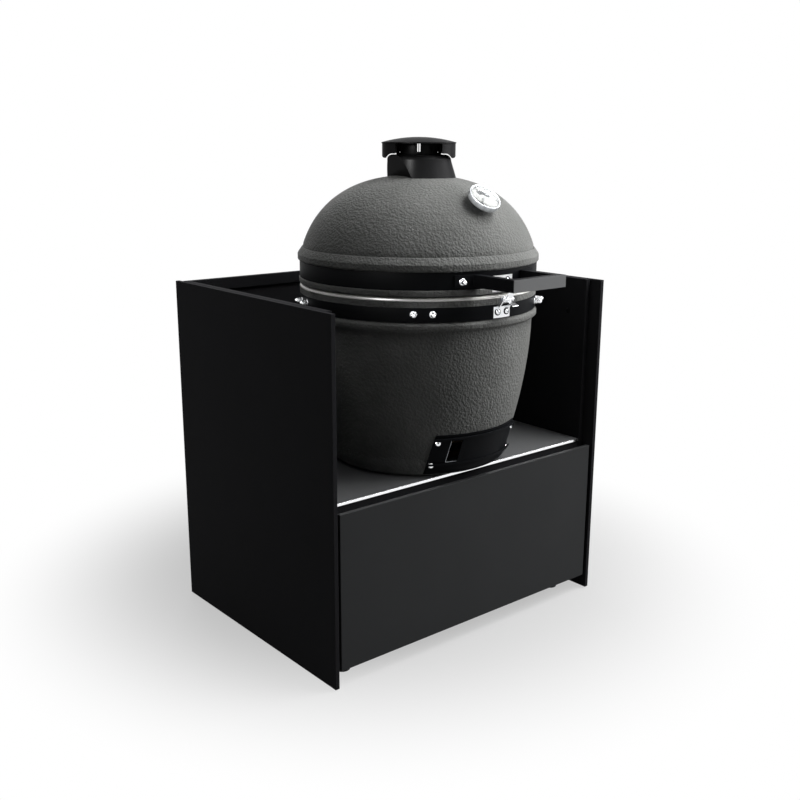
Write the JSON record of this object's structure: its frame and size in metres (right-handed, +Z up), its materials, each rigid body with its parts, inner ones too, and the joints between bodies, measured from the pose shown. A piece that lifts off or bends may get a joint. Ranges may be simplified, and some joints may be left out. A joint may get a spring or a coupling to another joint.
{
  "type": "kamado grill table",
  "caption": "Black outdoor kitchen module with a ceramic kamado grill on its shelf, a deep drawer below, a hinged dome with handle and latch, a turning vent cap and a sliding draft door",
  "frame": {"origin": "on the floor under the middle of the whole, handle included", "axes": "+Z up, the front with the drawer and handle faces -Y, +X is the right side in a front view"},
  "size_m": [0.916, 0.886, 1.276],
  "materials": {
    "panel": "powder coated aluminium, fine matt black",
    "drawer": "powder coated aluminium, fine matt dark grey",
    "frame": "powder coated aluminium, matt black",
    "shelf": "dark grey powder coat",
    "trim": "brushed and bright",
    "drawer_steel": "grey powder coat",
    "runner": "zinc plated",
    "foot": "black moulded",
    "ceramic": "anthracite orange-peel glaze",
    "felt": "grey felt",
    "band": "satin black powder coat",
    "chrome": "polished",
    "casting": "satin black paint",
    "stainless": "satin stainless",
    "fireclay": "unglazed fireclay",
    "iron": "raw cast",
    "dial": "matt white enamel",
    "needle": "matt enamel",
    "glass": "clear flat lens"
  },
  "bodies": {
    "cabinet": {"side_panel_left": "panel", "side_panel_right": "panel", "back_panel": "panel", "frame_wall_left": "frame", "frame_wall_right": "frame", "back_rail": "frame", "bottom_panel": "frame", "shelf_rail_front": "frame", "shelf_rail_middle": "frame", "shelf_rail_rear": "frame", "kamado_shelf": "shelf", "shelf_edge_trim": "trim", "runner_outer_left": "runner", "runner_outer_right": "runner", "foot_front_left": "foot", "foot_front_right": "foot", "foot_rear_left": "foot", "foot_rear_right": "foot", "kamado_base": "ceramic", "base_gasket": "felt", "lower_band": "band", "hinge_lower_bracket": "band", "draft_frame": "band", "latch_bracket": "chrome", "latch_pin": "chrome", "hinge_pin": "stainless", "hinge_spring_left": "stainless", "hinge_spring_right": "stainless", "cooking_grid": "stainless", "firebox": "fireclay", "fire_ring": "fireclay", "charcoal_grate": "iron"},
    "drawer": {"drawer_front": "drawer", "drawer_side_left": "drawer_steel", "drawer_side_right": "drawer_steel", "drawer_back": "drawer_steel", "drawer_bottom": "drawer_steel", "runner_inner_left": "runner", "runner_inner_right": "runner"},
    "runner_left": {"runner_middle_left": "runner"},
    "runner_right": {"runner_middle_right": "runner"},
    "dome": {"kamado_dome": "ceramic", "dome_gasket": "felt", "upper_band": "band", "handle": "band", "latch_catch": "chrome", "latch_striker": "chrome", "hinge_upper_bracket": "band", "chimney": "casting", "vent_collar": "casting", "thermometer_case": "stainless", "thermometer_dial": "dial", "thermometer_lens": "glass"},
    "cap": {"vent_cap": "casting", "vent_spindle": "stainless"},
    "hook": {"latch_hook": "chrome"},
    "pointer": {"thermometer_needle": "needle"},
    "slider": {"draft_slider": "band"}
  },
  "joints": [
    {"name": "drawer_slide", "type": "slide", "parent": "cabinet", "child": "drawer", "axis": [0, -1, 0], "range_m": [0, 0.54]},
    {"name": "runner_left_slide", "type": "slide", "parent": "cabinet", "child": "runner_left", "axis": [0, -1, 0], "range_m": [0, 0.27]},
    {"name": "runner_right_slide", "type": "slide", "parent": "cabinet", "child": "runner_right", "axis": [0, -1, 0], "range_m": [0, 0.27]},
    {"name": "dome_hinge", "type": "hinge", "parent": "cabinet", "child": "dome", "pos_m": [0, 0.3373, 0.9084], "axis": [-1, 0, 0], "range_deg": [0, 75]},
    {"name": "cap_turn", "type": "hinge", "parent": "dome", "child": "cap", "pos_m": [0, -0.015, 1.25], "axis": [0, 0, 1], "range_deg": [0, 30]},
    {"name": "latch_turn", "type": "hinge", "parent": "cabinet", "child": "hook", "pos_m": [0, -0.338, 0.9025], "axis": [1, 0, 0], "range_deg": [-25, 35]},
    {"name": "pointer_turn", "type": "hinge", "parent": "dome", "child": "pointer", "pos_m": [0, -0.25268, 1.13249], "axis": [0, 0.6486, -0.7611], "range_deg": [0, 260]},
    {"name": "draft_slide", "type": "hinge", "parent": "cabinet", "child": "slider", "pos_m": [0, -0.015, 0.52], "axis": [0, 0, 1], "range_deg": [-6.5, 11]}
  ],
  "couplings": [
    {"joint": "runner_left_slide", "follows": "drawer_slide", "ratio": 0.5},
    {"joint": "runner_right_slide", "follows": "drawer_slide", "ratio": 0.5}
  ]
}
